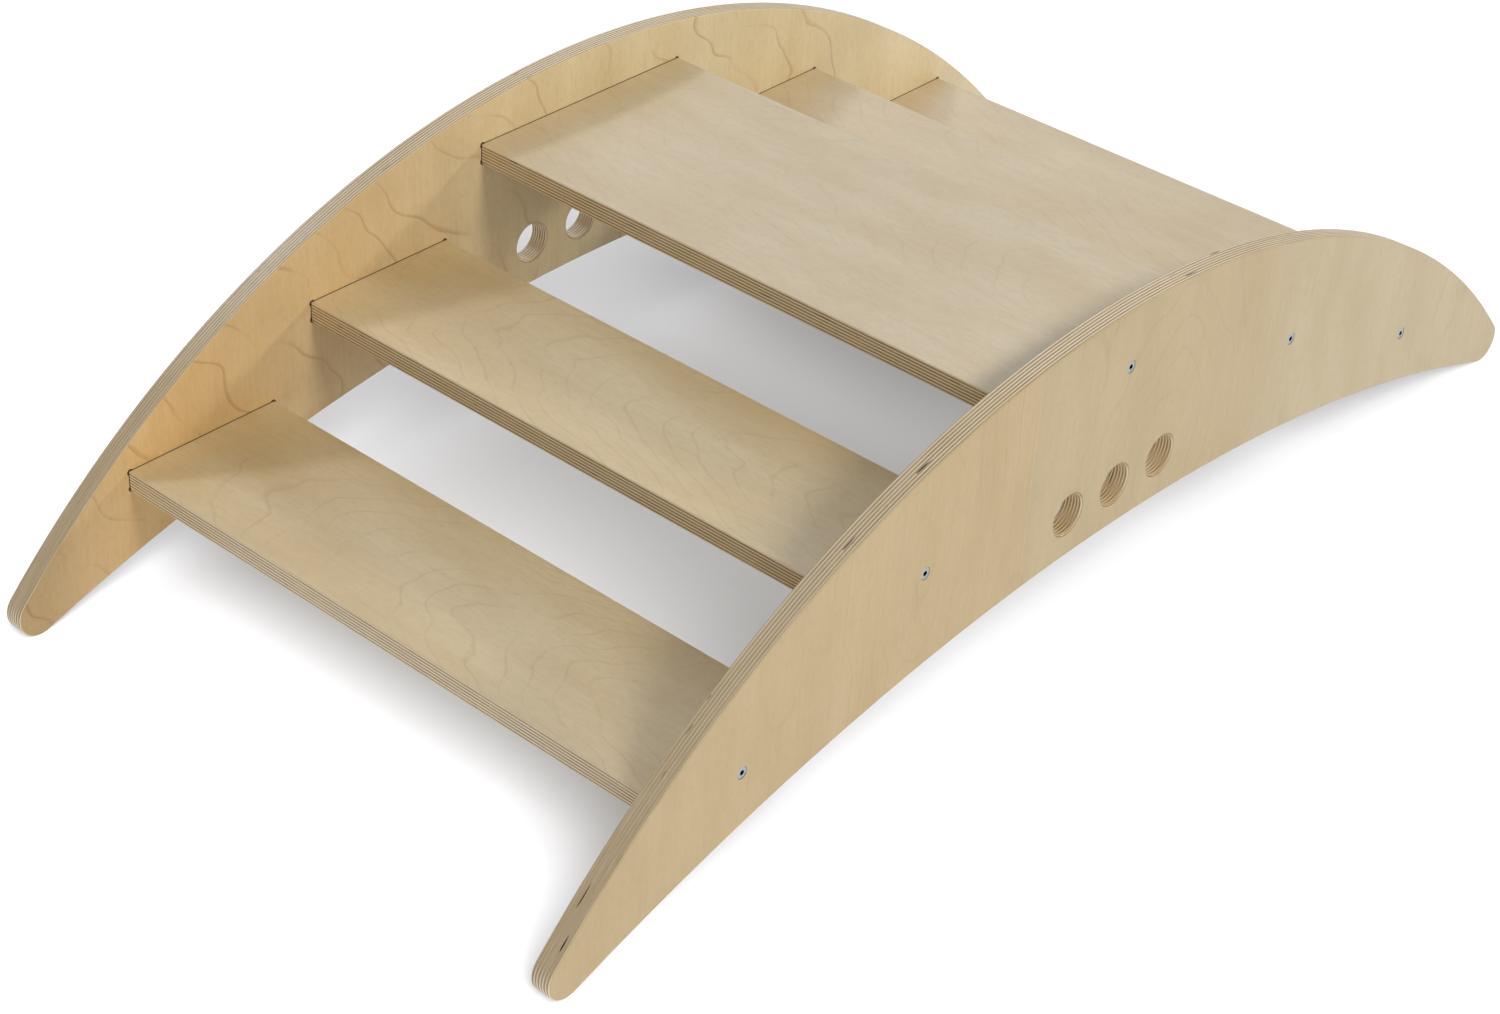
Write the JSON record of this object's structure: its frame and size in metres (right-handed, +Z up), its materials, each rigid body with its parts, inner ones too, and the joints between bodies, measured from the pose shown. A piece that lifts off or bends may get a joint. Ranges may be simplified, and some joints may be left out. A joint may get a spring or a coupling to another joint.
{
  "type": "seesaw",
  "caption": "Plywood climbing arch with crescent side panels and stepped boards; turned over, its curved edges rock as a seesaw.",
  "frame": {"origin": "on the floor under the middle of the arch, standing on its four round tips", "axes": "+X along the arch's length, +Y across its width from the front panel to the rear panel, +Z up"},
  "size_m": [1.24, 0.6, 0.302],
  "materials": {
    "panel_plywood": "satin clear lacquer on sanded birch plywood, layered edges",
    "step_plywood": "satin clear lacquer on sanded birch plywood, layered edges",
    "screw_zinc": "blue zinc plating, slightly dull"
  },
  "bodies": {
    "root": {"side_panel_front": "panel_plywood", "side_panel_rear": "panel_plywood", "step_low_left": "step_plywood", "step_mid_left": "step_plywood", "step_top": "step_plywood", "step_mid_right": "step_plywood", "step_low_right": "step_plywood", "screw_front_low_left": "screw_zinc", "screw_front_mid_left": "screw_zinc", "screw_front_top": "screw_zinc", "screw_front_mid_right": "screw_zinc", "screw_front_low_right": "screw_zinc", "screw_rear_low_left": "screw_zinc", "screw_rear_mid_left": "screw_zinc", "screw_rear_top": "screw_zinc", "screw_rear_mid_right": "screw_zinc", "screw_rear_low_right": "screw_zinc"}
  },
  "joints": []
}
